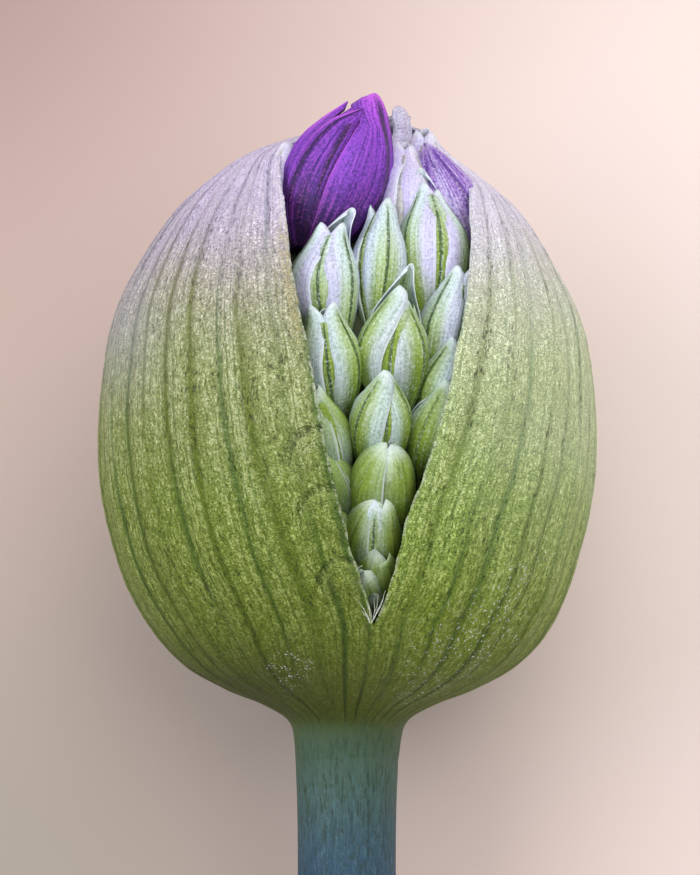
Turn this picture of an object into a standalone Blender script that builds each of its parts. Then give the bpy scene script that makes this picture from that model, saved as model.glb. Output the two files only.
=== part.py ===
# Allium flower bud, cut with a short stem and laid on its side.
# The papery sheath round the head is split down one side, and the closed florets show in the split.
# Each piece is drawn as if the bud stood upright: Z runs from the stem to the tip, with zero at the
# neck, -Y is the split side and +X is the right of the split. An empty then lays the whole bud down,
# split upwards, on the back of its sheath and on the cut end of its stem.

import math

import bmesh
import bpy
import numpy as np
from mathutils import Matrix, Vector, noise

MM = 0.001

# Stem, in millimetres and upright: radius and height, from the receptacle down to the cut end
STEM_LENGTH = 62.0
STEM_CUT_RADIUS = 4.4
STEM_CUT_BEVEL = 0.25
STEM_OUTLINE = [
    (0.0, 3.2),
    (2.6, 2.8),
    (4.0, 1.8),
    (4.5, 0.5),
    (4.7, -0.6),
    (5.3, -1.0),
    (5.1, -1.5),
    (4.8, -2.7),
    (4.55, -5.5),
    (4.43, -12.0),
    (4.40, -36.0),
    (STEM_CUT_RADIUS, -STEM_LENGTH + STEM_CUT_BEVEL),
    (STEM_CUT_RADIUS - STEM_CUT_BEVEL, -STEM_LENGTH),
    (0.0, -STEM_LENGTH),
]
STEM_STEPS = 32

# Sheath: its outer outline as radius and height, from the neck up to the beak
SHEATH_OUTLINE = [
    (5.6, -0.4),
    (8.2, 0.9),
    (11.2, 2.1),
    (14.9, 4.2),
    (17.9, 7.4),
    (20.2, 11.8),
    (21.9, 18.3),
    (22.4, 24.8),
    (22.1, 30.5),
    (20.9, 35.9),
    (18.4, 41.0),
    (15.3, 45.4),
    (11.7, 48.6),
    (8.3, 50.9),
    (5.2, 52.5),
    (2.7, 53.6),
    (1.7, 54.9),
]
SHEATH_THICKNESS = 0.8
# The split's two edges: height, then the left and the right edge's angle round the bud, in degrees
SPLIT_EDGES = [
    (8.2, 6.3, 6.3),
    (11.0, 4.2, 9.8),
    (14.7, 1.0, 12.5),
    (18.1, -1.0, 14.5),
    (21.5, -3.4, 17.8),
    (25.5, -5.5, 21.1),
    (29.8, -7.5, 24.6),
    (32.7, -9.0, 26.6),
    (36.0, -11.6, 30.2),
    (40.5, -15.4, 35.8),
    (45.3, -21.0, 46.0),
    (48.3, -29.5, 62.0),
    (50.8, -46.0, 75.0),
    (52.5, -85.0, 100.0),
    (53.6, -115.0, 125.0),
    (54.9, -140.0, 150.0),
]
EDGE_TEAR = 0.35
# An edge is torn in full where the split is at least this many degrees wide
TEAR_OPENING = 10.0
TEAR_SEED = 3.1
# The beak: how far it leans right and back, from which height, and how gently it starts
BEAK_LEAN = Vector((4.9, 2.5))
BEAK_START = 50.0
BEAK_BEND = 1.6
# The bud is fuller on its right near the base: how much, and at which height
BASE_FULLNESS = 0.4
FULLNESS_HEIGHT = 6.0
RIBS = 20
COLUMNS_PER_RIB = 3
RIB_HEIGHT = 0.11
# The veins rise over this height from the neck, and fade over this height below the tip
RIB_RISE = 6.0
RIB_FADE_END = 54.0
RIB_FADE = 8.0
ROWS_BELOW_SPLIT = 5
ROWS_ALONG_SPLIT = 14

# Florets: a closed bud of three outer tepals over three inner ones
FLORET_GIRTH = [
    (0.0, 0.36),
    (0.16, 0.72),
    (0.38, 0.98),
    (0.48, 1.0),
    (0.62, 0.93),
    (0.84, 0.55),
    (1.0, 0.12),
]
TEPAL_SPREAD = [(0.0, 52.0), (0.4, 50.0), (0.75, 38.0), (1.0, 24.0)]
TEPAL_STEP = 0.13
TEPAL_KEEL = 0.06
TEPAL_TIP_DIP = 0.05
BUD_SHARES = (0.0, 0.16, 0.38, 0.62, 0.84, 1.0)
PLAIN_SHARES = (0.0, 0.35, 0.7, 1.0)
PLAIN_SIDES = 6
# A floret turns its front away from this point on the bud's axis
BUD_MIDDLE = 12.0

# Florets seen in the split, placed by hand: tip x and height, base x and height, width, roll in
# degrees, and how much further than usual the tip stands out
SPLIT_FLORETS = [
    (-0.6, 44.7, -1.3, 32.2, 6.6, 20, 0.0),
    (3.6, 45.8, 2.0, 34.0, 5.6, 0, -0.9),
    (7.3, 47.5, 7.0, 34.4, 6.4, 50, -0.4),
    (-2.3, 36.9, -0.8, 25.6, 5.6, 25, 0.0),
    (4.8, 38.5, 3.9, 26.2, 6.8, 10, 0.3),
    (10.3, 40.1, 7.4, 28.2, 6.2, 40, 0.0),
    (8.9, 29.8, 6.8, 20.6, 6.0, 0, -0.3),
    (3.4, 30.9, 2.6, 20.5, 5.8, 0, 0.3),
    (-2.8, 29.4, -2.7, 18.0, 5.6, 60, -0.3),
    (-1.9, 24.4, -1.4, 14.6, 5.6, 30, -0.1),
    (3.8, 24.4, 3.2, 14.6, 6.2, 55, 0.3),
    (2.7, 19.6, 2.4, 10.6, 5.6, 20, 0.4),
    (-1.2, 19.2, -1.0, 10.0, 5.0, 0, -0.1),
    (2.9, 14.8, 3.0, 7.4, 4.4, 45, 0.4),
    (1.9, 13.1, 2.3, 6.0, 3.8, 0, 0.4),
]
# Pale florets behind the violet ones, at the top of the head: tip, base, width and roll
CROWN_FLORETS = [
    (Vector((5.0, -5.2, 49.6)), Vector((4.2, -8.8, 38.5)), 5.0, 30),
    (Vector((-1.5, 1.5, 50.4)), Vector((-1.5, 0.5, 39.0)), 5.6, 10),
    (Vector((3.6, 2.6, 50.6)), Vector((2.5, 2.0, 39.0)), 5.6, 40),
    (Vector((-6.2, -3.4, 48.2)), Vector((-5.8, -3.0, 37.5)), 5.6, 0),
]
BASE_INSET = 7.0
TIP_INSET = 1.75
CORE_INSET = 6.0
CORE_SLIMMER = 0.6
CORE_BOTTOM = 3.7
CORE_BOTTOM_RADIUS = 4.0
CORE_SIDE_START = 5.2
CORE_TOP = 46.0
CORE_CAP = 46.4
CORE_ROWS = 11
CORE_STEPS = 20

# Florets hidden under the sheath follow the golden angle up the head
HIDDEN_FLORETS = 60
HIDDEN_LOWEST = 7.0
HIDDEN_HIGHEST = 46.5
HIDDEN_WIDTH = 6.4
HIDDEN_RISE = 9.45
HIDDEN_ROOT = 6.0
GOLDEN_ANGLE = 137.508
SPLIT_MARGIN = 13.0

# The two violet florets: tip, base, width and roll
FRONT_VIOLET = (Vector((2.5, -4.6, 56.0)), Vector((-3.8, -10.0, 41.5)), 9.6, -10)
SIDE_VIOLET = (Vector((6.3, -4.7, 51.4)), Vector((8.4, -5.7, 41.3)), 6.0, 35)
GAP = 0.35

# Samples of a curve: between two of its points, and along the outlines in full
CURVE_STEPS = 24
OUTLINE_SAMPLES = 400
# Corners sharper than this many degrees stay crisp
SHARP_ANGLE = 40

# Lying down: how far the tip is tilted up
REST_TILT = 12.15


def curve_through(points, samples):
    """Points along a smooth curve through the given ones, evenly spaced along its length."""
    given = np.array(points, float)
    ends = np.vstack([2 * given[0] - given[1], given, 2 * given[-1] - given[-2]])
    steps = np.linspace(0, 1, CURVE_STEPS, endpoint=False)[:, None]
    pieces = []
    for before, start, finish, after in zip(ends, ends[1:], ends[2:], ends[3:]):
        pieces.append(
            0.5
            * (
                2 * start
                + (finish - before) * steps
                + (2 * before - 5 * start + 4 * finish - after) * steps**2
                + (3 * start - before - 3 * finish + after) * steps**3
            )
        )
    dense = np.vstack([*pieces, given[-1:]])
    travel = np.concatenate([[0], np.cumsum(np.linalg.norm(np.diff(dense, axis=0), axis=1))])
    wanted = np.linspace(0, travel[-1], samples)
    return np.column_stack([np.interp(wanted, travel, dense[:, i]) for i in range(given.shape[1])])


OUTLINE = curve_through(SHEATH_OUTLINE, OUTLINE_SAMPLES)
OUTLINE_TURN = np.gradient(OUTLINE, axis=0)
OUTLINE_NORMAL = np.column_stack([OUTLINE_TURN[:, 1], -OUTLINE_TURN[:, 0]])
OUTLINE_NORMAL /= np.linalg.norm(OUTLINE_NORMAL, axis=1)[:, None]
EDGES = curve_through(SPLIT_EDGES, OUTLINE_SAMPLES)


def radius_at(height, inset=0.0):
    """The sheath's outer radius at a height, or the radius of a surface that far inside it."""
    inner = OUTLINE - inset * OUTLINE_NORMAL
    rising = np.maximum.accumulate(inner[:, 1])
    return float(np.interp(height, rising, inner[:, 0]))


def split_at(height):
    """The angles of the split's left and right edge at a height, in degrees."""
    left = np.interp(height, EDGES[:, 0], EDGES[:, 1])
    right = np.interp(height, EDGES[:, 0], EDGES[:, 2])
    return float(left), float(right)


def bud_centre(height):
    """The bud's middle at a height: the base is fuller on the right, and the beak leans."""
    fuller = BASE_FULLNESS * math.exp(-((height / FULLNESS_HEIGHT - 1) ** 2))
    climb = max(0.0, height - BEAK_START) / (SHEATH_OUTLINE[-1][1] - BEAK_START)
    return Vector((fuller, 0.0)) + BEAK_LEAN * climb**BEAK_BEND


def on_bud(angle, height, inset=0.0):
    """A point on the bud at an angle from the split side, that far inside the sheath's outside."""
    radius = radius_at(height, inset)
    turn = math.radians(angle)
    middle = bud_centre(height)
    return Vector((middle.x + radius * math.sin(turn), middle.y - radius * math.cos(turn), height))


def in_split(x, height, inset):
    """The point that far inside the sheath's outside that is seen at x and height from the front."""
    radius = radius_at(height, inset)
    return Vector((x, -math.sqrt(max(radius**2 - x**2, 0.0)), height))


def new_object(name, mesh, collection, material=None):
    made = bpy.data.objects.new(name, mesh)
    collection.objects.link(made)
    if material:
        mesh.materials.append(material)
    return made


def new_material(name, colour, roughness):
    material = bpy.data.materials.new(name)
    material.use_nodes = True
    shader = material.node_tree.nodes["Principled BSDF"]
    shader.inputs["Base Color"].default_value = (*colour, 1.0)
    shader.inputs["Roughness"].default_value = roughness
    shader.inputs["Metallic"].default_value = 0.0
    return material


def turned(name, outline, steps, collection, material=None):
    """A turned solid from an outline that runs from the axis at the top to the axis at the bottom."""
    mesh = bpy.data.meshes.new(name)
    points = [(radius * MM, 0.0, height * MM) for radius, height in outline]
    mesh.from_pydata(points, [(i, i + 1) for i in range(len(points) - 1)], [])
    made = new_object(name, mesh, collection, material)
    screw = made.modifiers.new("turn", "SCREW")
    screw.steps = steps
    screw.render_steps = steps
    screw.use_merge_vertices = True
    screw.merge_threshold = 0.000001
    return made


def loft(name, rings, collection, material=None):
    """A closed solid through rings with the same number of points, from its base to its tip."""
    shape = bmesh.new()
    made = [[shape.verts.new(point * MM) for point in ring] for ring in rings]
    for lower, upper in zip(made, made[1:]):
        for i in range(len(lower)):
            following = (i + 1) % len(lower)
            shape.faces.new((lower[i], lower[following], upper[following], upper[i]))
    shape.faces.new(reversed(made[0]))
    shape.faces.new(made[-1])
    bmesh.ops.triangulate(shape, faces=shape.faces)
    bmesh.ops.recalc_face_normals(shape, faces=shape.faces)
    mesh = bpy.data.meshes.new(name)
    shape.to_mesh(mesh)
    shape.free()
    return new_object(name, mesh, collection, material)


def tepal_ring(share):
    """Angle, radius and dip of the points round a floret: three outer tepals over three inner."""
    spread = np.interp(share, *zip(*TEPAL_SPREAD))
    inner = 1 - TEPAL_STEP
    sector = [
        (-spread, 0.98, 1.0),
        (-spread / 2, 1.0, 0.45),
        (0.0, 1 + TEPAL_KEEL, 0.0),
        (spread / 2, 1.0, 0.45),
        (spread, 0.98, 1.0),
        (spread + 4, inner, 1.1),
        (60.0, inner + TEPAL_KEEL, 0.6),
        (116 - spread, inner, 1.1),
    ]
    return [(120 * i + angle, radius, dip) for i in range(3) for angle, radius, dip in sector]


def plain_ring(share):
    """The points round a floret that the sheath hides: its six tepals as six plain sides."""
    return [(360 * i / PLAIN_SIDES, 1.0, 0.0) for i in range(PLAIN_SIDES)]


def floret_frame(tip, base, roll):
    """The floret's own axes: Z from its base to its tip, -Y turned away from the bud's middle."""
    along = (tip - base).normalized()
    outward = Vector((base.x + tip.x, base.y + tip.y, -BUD_MIDDLE))
    outward = (outward - outward.dot(along) * along).normalized()
    axes = Matrix((along.cross(outward), -outward, along)).transposed().to_4x4()
    return Matrix.Translation(base) @ axes @ Matrix.Rotation(math.radians(roll), 4, "Z")


def floret(name, tip, base, width, roll, collection, ring=tepal_ring, shares=BUD_SHARES, grown=0.0):
    """One closed floret from its base to its tip, or one grown by a gap all round."""
    place = floret_frame(tip, base, roll)
    length = (tip - base).length
    rings = []
    for share in shares:
        girth = width / 2 * np.interp(share, *zip(*FLORET_GIRTH)) + grown
        height = -grown + share * (length + 2 * grown)
        points = []
        for angle, radius, dip in ring(share):
            turn = math.radians(angle)
            sink = TEPAL_TIP_DIP * length * dip * share**4
            across = girth * radius
            local = Vector((across * math.sin(turn), -across * math.cos(turn), height - sink))
            points.append(place @ local)
        rings.append(points)
    return loft(name, rings, collection)


def fixed_mesh(made):
    """The object's mesh as its modifiers leave it."""
    bpy.context.view_layer.update()
    graph = bpy.context.evaluated_depsgraph_get()
    return bpy.data.meshes.new_from_object(made.evaluated_get(graph))


def keep_largest_body(mesh):
    """Drops loose scraps and fills sealed hollows: only the largest closed surface stays."""
    shape = bmesh.new()
    shape.from_mesh(mesh)
    bodies = []
    unseen = set(shape.faces)
    while unseen:
        front = [unseen.pop()]
        body = []
        while front:
            face = front.pop()
            body.append(face)
            for edge in face.edges:
                for other in edge.link_faces:
                    if other in unseen:
                        unseen.remove(other)
                        front.append(other)
        bodies.append(body)
    bodies.sort(key=lambda body: sum(face.calc_area() for face in body), reverse=True)
    scraps = [face for body in bodies[1:] for face in body]
    bmesh.ops.delete(shape, geom=scraps, context="FACES")
    shape.to_mesh(mesh)
    shape.free()


def join(made, operand, operation):
    """Joins a collection's solids to the object, or cuts them from it, and keeps the result."""
    boolean = made.modifiers.new(operation.lower(), "BOOLEAN")
    boolean.operation = operation
    boolean.operand_type = "COLLECTION"
    boolean.collection = operand
    boolean.solver = "MANIFOLD"
    mesh = fixed_mesh(made)
    made.modifiers.clear()
    keep_largest_body(mesh)
    made.data = mesh
    for tool in list(operand.objects):
        bpy.data.objects.remove(tool)


def make_stem(collection):
    material = new_material("green stem", (0.062, 0.11, 0.095), 0.5)
    return turned("stem", STEM_OUTLINE, STEM_STEPS, collection, material)


def sheath_heights():
    """The heights of the sheath's rows: even steps along its outline, with one where it splits."""
    travel = np.concatenate([[0], np.cumsum(np.linalg.norm(np.diff(OUTLINE, axis=0), axis=1))])
    split = np.interp(SPLIT_EDGES[0][0], OUTLINE[:, 1], travel)
    below = np.linspace(0, split, ROWS_BELOW_SPLIT, endpoint=False)
    along = np.linspace(split, travel[-1], ROWS_ALONG_SPLIT + 1)
    return np.interp(np.concatenate([below, along]), travel, OUTLINE[:, 1])


def make_sheath(collection, place):
    """One bract round the whole head, with raised veins, a torn split and a flat spot to lie on."""
    columns = RIBS * COLUMNS_PER_RIB
    shape = bmesh.new()
    rows = []
    for height in sheath_heights():
        left, right = split_at(height)
        opened = right - left
        tear = EDGE_TEAR * min(1.0, opened / TEAR_OPENING) * 360 / (2 * math.pi * radius_at(height))
        row = []
        for column in range(columns + 1):
            share = column / columns
            angle = right + (360 - opened) * share
            near_edge = max(0.0, 1 - min(share, 1 - share) * columns / 2)
            angle += tear * near_edge * noise.noise(Vector((share, height, TEAR_SEED)))
            rise = (height - SHEATH_OUTLINE[0][1]) / RIB_RISE
            fade = max(0.0, RIB_FADE_END - height) / RIB_FADE
            crest = RIB_HEIGHT * min(1.0, rise, fade) * math.cos(2 * math.pi * RIBS * share)
            point = place @ (on_bud(angle, height, -crest) * MM)
            point.z = max(point.z, 0.0)
            row.append(shape.verts.new(place.inverted() @ point))
        rows.append(row)
    for lower, upper in zip(rows, rows[1:]):
        for i in range(columns):
            shape.faces.new((lower[i], lower[i + 1], upper[i + 1], upper[i]))
    bmesh.ops.remove_doubles(shape, verts=shape.verts, dist=0.000001)
    mesh = bpy.data.meshes.new("sheath")
    shape.to_mesh(mesh)
    shape.free()
    material = new_material("papery sheath", (0.23, 0.27, 0.09), 0.55)
    made = new_object("sheath", mesh, collection, material)
    shell = made.modifiers.new("thickness", "SOLIDIFY")
    shell.thickness = SHEATH_THICKNESS * MM
    shell.offset = -1
    return made


def hidden_places():
    """Angle and tip height of the florets that the sheath hides, evenly spread up the head."""
    for step in range(HIDDEN_FLORETS):
        height = HIDDEN_LOWEST + (HIDDEN_HIGHEST - HIDDEN_LOWEST) * (step + 0.5) / HIDDEN_FLORETS
        angle = (GOLDEN_ANGLE * step + 180) % 360 - 180
        left, right = split_at(max(height, SPLIT_EDGES[0][0]))
        if not left - SPLIT_MARGIN < angle < right + SPLIT_MARGIN:
            yield angle, height


def make_flower_buds(collection, tools):
    """The pale florets, standing out of the mass of their own short stalks."""
    heights = np.linspace(CORE_TOP, CORE_SIDE_START, CORE_ROWS)
    side = [(radius_at(height, CORE_INSET) - CORE_SLIMMER, height) for height in heights]
    bottom = [(CORE_BOTTOM_RADIUS, CORE_BOTTOM), (0.0, CORE_BOTTOM)]
    outline = [(0.0, CORE_CAP), *side, *bottom]
    material = new_material("pale floret", (0.44, 0.56, 0.42), 0.45)
    made = turned("flower_buds", outline, CORE_STEPS, collection, material)
    made.data = fixed_mesh(made)
    made.modifiers.clear()
    for number, (tip_x, tip_z, base_x, base_z, width, roll, proud) in enumerate(SPLIT_FLORETS):
        tip = in_split(tip_x, tip_z, TIP_INSET - proud)
        base = in_split(base_x, base_z, BASE_INSET)
        floret(f"split_floret_{number}", tip, base, width, roll, tools)
    for number, (tip, base, width, roll) in enumerate(CROWN_FLORETS):
        floret(f"crown_floret_{number}", tip, base, width, roll, tools)
    for number, (angle, height) in enumerate(hidden_places()):
        tip = on_bud(angle, height, TIP_INSET)
        base = on_bud(angle, max(height - HIDDEN_RISE, HIDDEN_ROOT), BASE_INSET)
        name = f"hidden_floret_{number}"
        floret(name, tip, base, HIDDEN_WIDTH, 0, tools, plain_ring, PLAIN_SHARES)
    join(made, tools, "UNION")
    floret("front_clearance", *FRONT_VIOLET, tools, grown=GAP)
    floret("side_clearance", *SIDE_VIOLET, tools, grown=GAP)
    join(made, tools, "DIFFERENCE")
    return made


def make_violet_floret(name, place, collection):
    made = floret(name, *place, collection)
    made.data.materials.append(new_material(f"{name} tepals", (0.22, 0.065, 0.5), 0.42))
    return made


def lowest_back(tilt):
    """How far the sheath's back reaches below the neck when the bud lies tilted."""
    return min(height * math.sin(tilt) - radius * math.cos(tilt) for radius, height in OUTLINE)


def laid_down():
    """Where the neck lies and how the bud is turned, with the stem's cut edge on the ground."""
    tilt = math.radians(REST_TILT)
    edge = STEM_LENGTH * math.sin(tilt) + (STEM_CUT_RADIUS - STEM_CUT_BEVEL) * math.cos(tilt)
    side = (STEM_LENGTH - STEM_CUT_BEVEL) * math.sin(tilt) + STEM_CUT_RADIUS * math.cos(tilt)
    rise = max(edge, side) * MM
    print(f"neck {rise / MM:.3f} mm up, flat spot {-lowest_back(tilt) - rise / MM:.3f} mm deep")
    return Matrix.Translation((0, 0, rise)) @ Matrix.Rotation(tilt - math.pi / 2, 4, "X")


def centre_on_ground(holder, pieces):
    """Moves the whole bud so that the middle of its box is over the origin."""
    bpy.context.view_layer.update()
    graph = bpy.context.evaluated_depsgraph_get()
    corners = []
    for piece in pieces:
        evaluated = piece.evaluated_get(graph)
        corners += [piece.matrix_world @ vertex.co for vertex in evaluated.data.vertices]
    corners = np.array(corners)
    middle = (corners.min(axis=0) + corners.max(axis=0)) / 2
    holder.location.x -= middle[0]
    holder.location.y -= middle[1]


def main():
    for old in list(bpy.data.objects):
        bpy.data.objects.remove(old)
    collection = bpy.data.collections.new("allium_flower_bud")
    tools = bpy.data.collections.new("joined_shapes")
    tools.hide_render = True
    bpy.context.scene.collection.children.link(collection)
    bpy.context.scene.collection.children.link(tools)
    place = laid_down()
    pieces = [
        make_stem(collection),
        make_sheath(collection, place),
        make_flower_buds(collection, tools),
        make_violet_floret("violet_floret_front", FRONT_VIOLET, collection),
        make_violet_floret("violet_floret_side", SIDE_VIOLET, collection),
    ]
    holder = bpy.data.objects.new("laid_down", None)
    collection.objects.link(holder)
    holder.matrix_world = place
    for piece in pieces:
        piece.parent = holder
        piece.data.shade_smooth()
        piece.data.set_sharp_from_angle(angle=math.radians(SHARP_ANGLE))
    centre_on_ground(holder, pieces)
    bpy.data.collections.remove(tools)


main()
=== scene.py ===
import math
import random

import bpy
import numpy as np
from mathutils import Matrix, Vector
from mathutils import noise as softNoise


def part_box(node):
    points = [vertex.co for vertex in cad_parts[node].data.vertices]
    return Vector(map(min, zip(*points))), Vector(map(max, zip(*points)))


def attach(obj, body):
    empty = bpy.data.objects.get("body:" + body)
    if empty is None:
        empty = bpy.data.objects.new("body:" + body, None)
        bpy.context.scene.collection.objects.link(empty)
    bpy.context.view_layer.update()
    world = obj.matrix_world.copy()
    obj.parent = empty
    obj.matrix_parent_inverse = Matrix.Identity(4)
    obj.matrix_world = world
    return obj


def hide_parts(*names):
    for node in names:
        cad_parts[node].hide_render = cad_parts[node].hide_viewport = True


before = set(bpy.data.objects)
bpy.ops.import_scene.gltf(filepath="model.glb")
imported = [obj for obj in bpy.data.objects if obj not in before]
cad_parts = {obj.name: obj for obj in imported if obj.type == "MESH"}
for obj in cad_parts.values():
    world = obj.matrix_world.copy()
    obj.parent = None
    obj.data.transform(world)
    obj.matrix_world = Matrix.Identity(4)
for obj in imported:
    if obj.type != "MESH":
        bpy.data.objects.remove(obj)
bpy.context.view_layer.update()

# Every piece is drawn upright, in the bud's own frame: Z from the stem to the tip, zero at the neck,
# -Y the split side, +X the right of the split. Its sizes are in millimetres until meshPiece.
mm = 0.001

# how the bud lies: tip tilted up, on the back of its sheath and the edge of the cut stem
lying = {
    "tiltDegrees": 12.15,
    "stemLength": 62.0,
    "cutRadius": 4.4,
    "cutBevel": 0.25,
}


def layDown():
    tilt = math.radians(lying["tiltDegrees"])
    length, radius, bevel = lying["stemLength"], lying["cutRadius"], lying["cutBevel"]
    faceEdge = length * math.sin(tilt) + (radius - bevel) * math.cos(tilt)
    sideEdge = (length - bevel) * math.sin(tilt) + radius * math.cos(tilt)
    low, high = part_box("stem")
    reach = (length * math.cos(tilt) + (radius - bevel) * math.sin(tilt)) * mm
    neck = ((low[0] + high[0]) / 2, low[1] + reach, max(faceEdge, sideEdge) * mm)
    return Matrix.Translation(neck) @ Matrix.Rotation(tilt - math.pi / 2, 4, "X")


laid = layDown()
laidBack = laid.inverted()
print("neck at", [round(value, 5) for value in laid.translation])

# camera: straight onto the split, as the photograph looks, so from above now that the bud lies
view = {
    "frameTall": 875,
    "frameMiddle": (350.0, 437.5),
    "neckPixel": (347.0, 712.0),
    "mmPerPixel": 0.0904,
    "distance": 900.0,
    "sensor": 36.0,
}


def makeCamera():
    lens = bpy.data.cameras.new("camera")
    lens.sensor_width = view["sensor"]
    lens.lens = view["sensor"] * view["distance"] / (view["frameTall"] * view["mmPerPixel"])
    lens.clip_start = 0.01
    right = (view["frameMiddle"][0] - view["neckPixel"][0]) * view["mmPerPixel"]
    up = (view["neckPixel"][1] - view["frameMiddle"][1]) * view["mmPerPixel"]
    camera = bpy.data.objects.new("camera", lens)
    bpy.context.scene.collection.objects.link(camera)
    place = Matrix.Translation(Vector((right, -view["distance"], up)) * mm)
    camera.matrix_world = laid @ place @ Matrix.Rotation(math.pi / 2, 4, "X")
    bpy.context.scene.camera = camera


makeCamera()
print("camera set")


# Shader maths: a wire is one socket, and arithmetic on it adds Math nodes
class Wire:
    def __init__(self, graph, socket):
        self.graph = graph
        self.socket = socket

    def __add__(self, other):
        return self.graph.maths("ADD", self, other)

    def __radd__(self, other):
        return self.graph.maths("ADD", other, self)

    def __sub__(self, other):
        return self.graph.maths("SUBTRACT", self, other)

    def __rsub__(self, other):
        return self.graph.maths("SUBTRACT", other, self)

    def __mul__(self, other):
        return self.graph.maths("MULTIPLY", self, other)

    def __rmul__(self, other):
        return self.graph.maths("MULTIPLY", other, self)

    def __truediv__(self, other):
        return self.graph.maths("DIVIDE", self, other)

    def __abs__(self):
        return self.graph.maths("ABSOLUTE", self)


class Graph:
    def __init__(self, name):
        self.material = bpy.data.materials.new(name)
        self.material.use_nodes = True
        self.tree = self.material.node_tree
        self.tree.nodes.clear()

    def add(self, kind, settings=None, sockets=None, out=0):
        # one node: its type, its settings, then the values or links of its sockets
        node = self.tree.nodes.new("ShaderNode" + kind)
        for key, value in (settings or {}).items():
            if key == "stops":
                self.setStops(node.color_ramp, value)
            else:
                setattr(node, key, value)
        for key, value in (sockets or {}).items():
            if isinstance(value, Wire):
                self.tree.links.new(value.socket, node.inputs[key])
            else:
                node.inputs[key].default_value = value
        return Wire(self, node.outputs[out]) if node.outputs else None

    def setStops(self, ramp, stops):
        while len(ramp.elements) < len(stops):
            ramp.elements.new(0.5)
        for element, (position, tint) in zip(ramp.elements, stops):
            element.position = position
            element.color = (*tint, 1.0)

    def maths(self, operation, *values):
        return self.add("Math", {"operation": operation}, dict(enumerate(values)))

    def axis(self, vector, name):
        return self.add("SeparateXYZ", sockets={0: vector}, out="XYZ".index(name))

    def carried(self, name):
        # a vector that the mesh carries
        return self.add("Attribute", {"attribute_name": name}, out="Vector")

    def stretch(self, vector, scales):
        return self.add("VectorMath", {"operation": "MULTIPLY"}, {0: vector, 1: scales})

    def shift(self, vector, way):
        return self.add("VectorMath", {"operation": "ADD"}, {0: vector, 1: way})

    def ramp(self, stops, value):
        return self.add("ValToRGB", {"stops": stops}, {0: value})

    def noise(self, vector, scale, detail=3.0, roughness=0.55):
        sockets = {"Vector": vector, "Scale": scale, "Detail": detail, "Roughness": roughness}
        return self.add("TexNoise", sockets=sockets)

    def smooth(self, value, low, high, start=0.0, end=1.0):
        # eases from start to end as the value goes from low to high
        sockets = {0: value, 1: low, 2: high, 3: start, 4: end}
        return self.add("MapRange", {"interpolation_type": "SMOOTHSTEP"}, sockets)

    def blend(self, amount, first, second, how="MIX"):
        settings = {"data_type": "RGBA", "blend_type": how}
        return self.add("Mix", settings, {0: amount, 6: first, 7: second}, out=2)

    def shade(self, values):
        shader = self.add("BsdfPrincipled", sockets=values)
        self.add("OutputMaterial", sockets={"Surface": shader})
        return self.material

    def tissue(self, base, roughness, bump, through, spread, gloss):
        # living tissue, which lets a little light through
        values = {"Base Color": base, "Roughness": roughness, "Normal": bump, "Specular IOR Level": gloss}
        values.update({"Subsurface Weight": through, "Subsurface Radius": spread})
        return self.shade({**values, "Subsurface Scale": 0.0008})


def colour(red, green, blue):
    return (red, green, blue, 1.0)


def curveThrough(points, samples):
    # a smooth curve through the points, evenly spaced along its length
    given = np.array(points, float)
    ends = np.vstack([2 * given[0] - given[1], given, 2 * given[-1] - given[-2]])
    steps = np.linspace(0, 1, 24, endpoint=False)[:, None]
    dense = []
    for before, start, finish, after in zip(ends, ends[1:], ends[2:], ends[3:]):
        square = 2 * before - 5 * start + 4 * finish - after
        cube = 3 * start - before - 3 * finish + after
        dense.append(start + 0.5 * ((finish - before) * steps + square * steps**2 + cube * steps**3))
    dense = np.vstack([*dense, given[-1:]])
    travel = np.concatenate([[0], np.cumsum(np.linalg.norm(np.diff(dense, axis=0), axis=1))])
    wanted = np.linspace(0, travel[-1], samples)
    return np.column_stack([np.interp(wanted, travel, dense[:, i]) for i in range(given.shape[1])])


def eased(value, low, high):
    share = np.clip((value - low) / (high - low), 0, 1)
    return share * share * (3 - 2 * share)


def softly(x, y, z):
    return softNoise.noise(Vector((x, y, z)))


def aroundNoise(turn, scale, height):
    # noise on a circle of that size
    return softly(scale * math.sin(turn), scale * math.cos(turn), height)


def sheetFaces(rows, columns, wrap=False):
    # quads of a grid of points, with its last column joined to the first where it wraps
    across = columns if wrap else columns - 1
    row, column = np.meshgrid(np.arange(rows - 1), np.arange(across), indexing="ij")
    start = row * columns + column
    following = row * columns + (column + 1) % columns
    return np.stack([start, following, following + columns, start + columns], -1).reshape(-1, 4)


def ringFaces(rows, columns, down=False):
    # rings of points joined into a closed form, capped at both ends; down when they go down its axis
    faces = sheetFaces(rows, columns, wrap=True).tolist()
    last = (rows - 1) * columns
    faces += [list(range(last, last + columns)), list(reversed(range(columns)))]
    return [face[::-1] for face in faces] if down else faces


def ringTurns(columns):
    return [2 * math.pi * column / columns for column in range(columns)]


def aboveFloor(points):
    # what would sink below the floor is pressed flat on it
    lain = []
    for point in points:
        world = laid @ (Vector(point) * mm)
        world.z = max(world.z, 0.0)
        lain.append(laidBack @ world / mm)
    return lain


def meshPiece(name, points, faces, material, vectors=None):
    # a piece from points in millimetres, with vectors that its material reads
    mesh = bpy.data.meshes.new(name)
    metres = np.asarray(points, float) * mm
    mesh.from_pydata(metres.tolist(), [], [list(map(int, face)) for face in faces])
    for key, values in (vectors or {}).items():
        layer = mesh.attributes.new(key, "FLOAT_VECTOR", "POINT")
        layer.data.foreach_set("vector", np.asarray(values, np.float32).ravel())
    mesh.shade_smooth()
    mesh.materials.append(material)
    piece = bpy.data.objects.new(name, mesh)
    bpy.context.scene.collection.objects.link(piece)
    piece.matrix_world = laid
    return piece


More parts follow.
